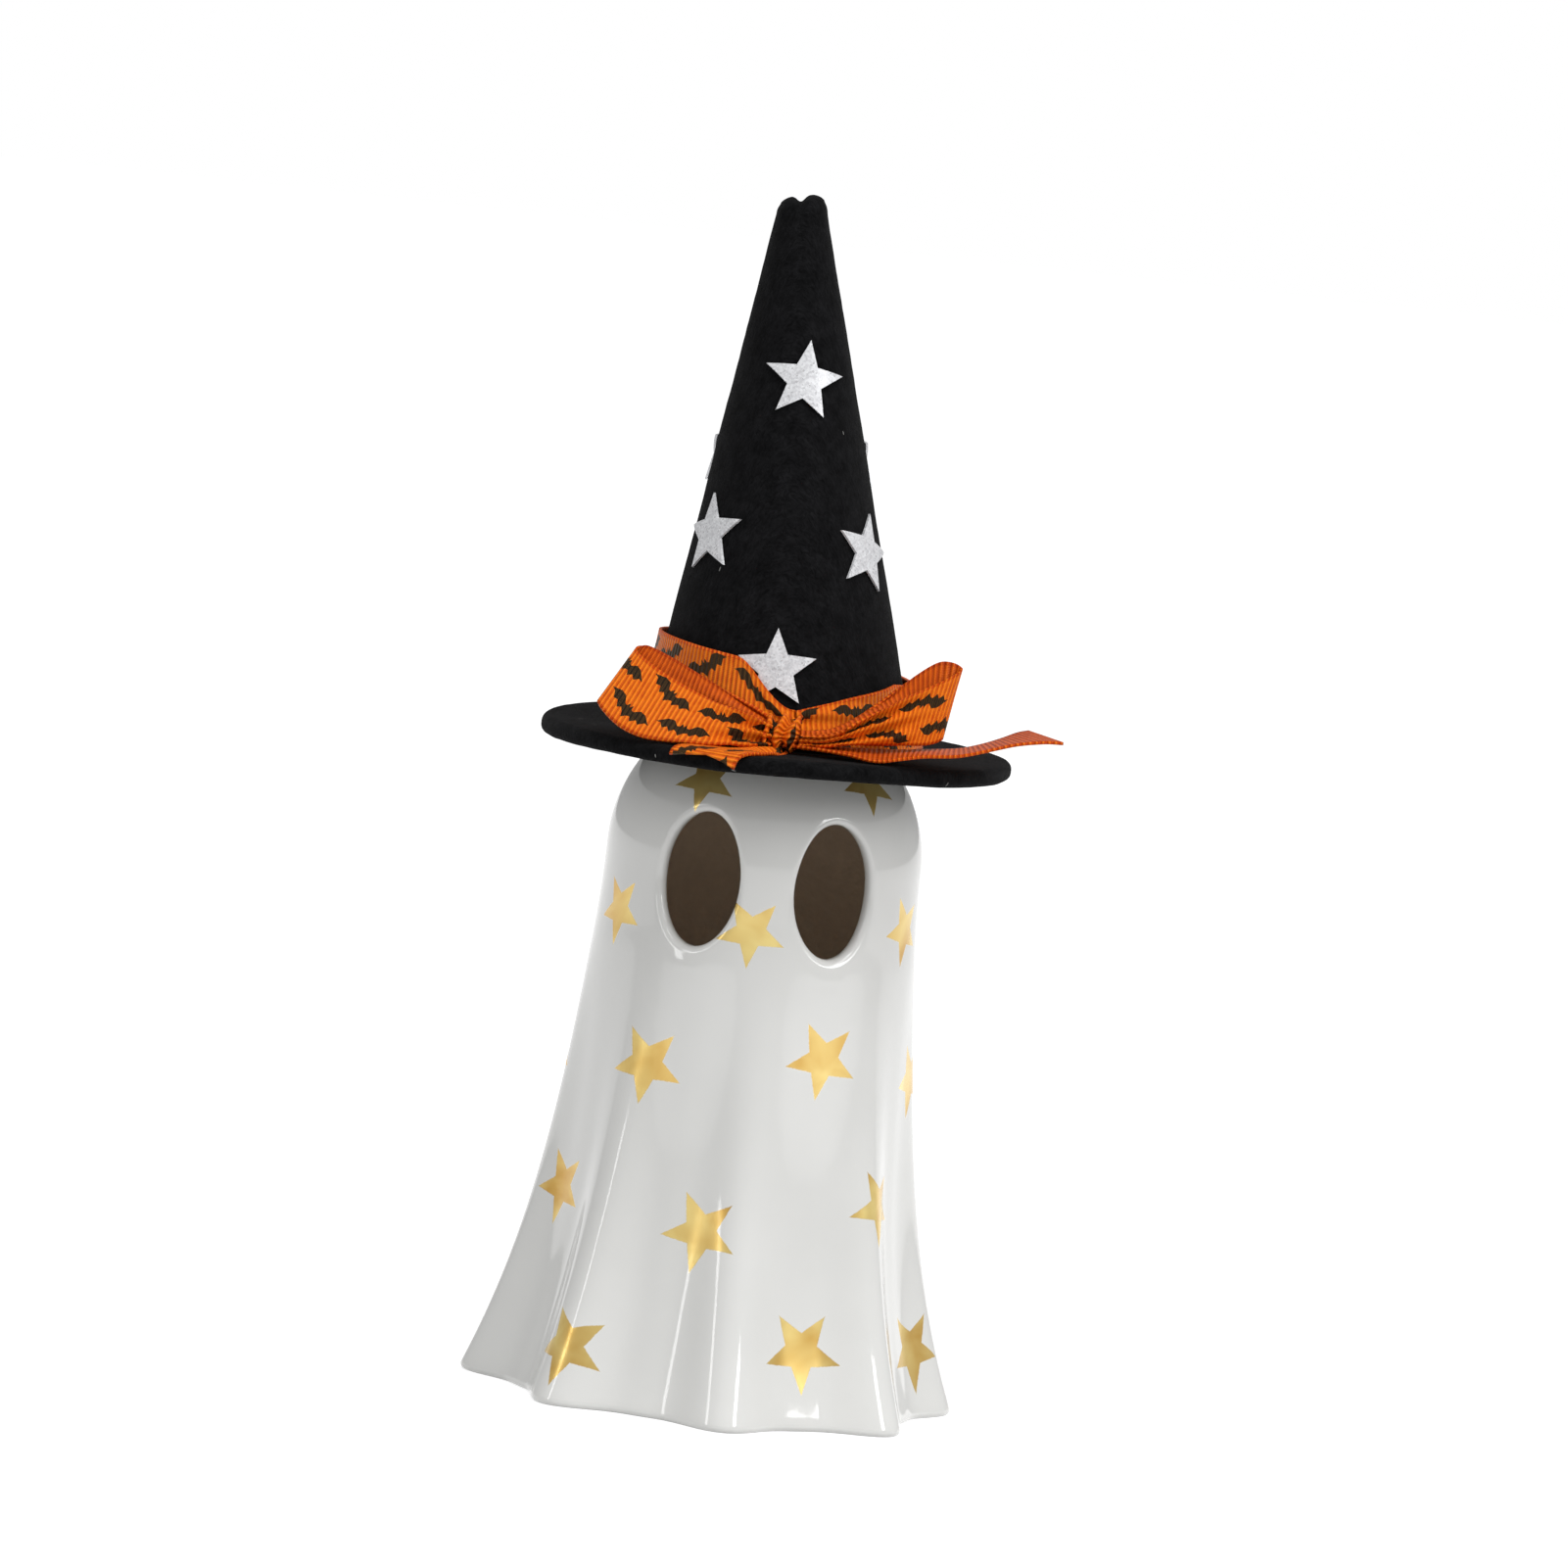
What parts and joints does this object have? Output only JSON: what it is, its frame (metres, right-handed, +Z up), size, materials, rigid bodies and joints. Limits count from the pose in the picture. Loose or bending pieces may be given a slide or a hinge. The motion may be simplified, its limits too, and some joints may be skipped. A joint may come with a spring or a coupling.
{
  "type": "ghost figurine",
  "caption": "Hollow glazed ghost figure with a pleated skirt, open eye holes and a lift-off felt witch hat tied with a ribbon bow, for a shelf or table.",
  "frame": {"origin": "centre of the hem, on the surface that the ghost stands on", "axes": "+Z up through the head, -Y the way the face looks, +X to the right as the viewer sees it"},
  "size_m": [0.0663, 0.0628, 0.1539],
  "materials": {
    "ghost_glaze": "glossy white glaze with gold star decals",
    "hat_felt": "black pressed felt",
    "glitter_film": "silver-white glitter film",
    "ribbon": "orange grosgrain printed with black bats"
  },
  "bodies": {
    "ghost": {"ghost_body": "ghost_glaze"},
    "hat": {"hat_brim": "hat_felt", "hat_cone": "hat_felt", "ribbon_band": "ribbon", "bow_knot": "ribbon", "bow_loop_left": "ribbon", "bow_loop_right": "ribbon", "bow_tail_left": "ribbon", "bow_tail_right": "ribbon", "hat_star_1": "glitter_film", "hat_star_2": "glitter_film", "hat_star_3": "glitter_film", "hat_star_4": "glitter_film", "hat_star_5": "glitter_film", "hat_star_6": "glitter_film", "hat_star_7": "glitter_film", "hat_star_8": "glitter_film", "hat_star_9": "glitter_film", "hat_star_10": "glitter_film"}
  },
  "joints": [
    {"name": "hat_lift", "type": "slide", "parent": "ghost", "child": "hat", "axis": [0, 0, 1], "range_m": [0, 0.0145]}
  ]
}
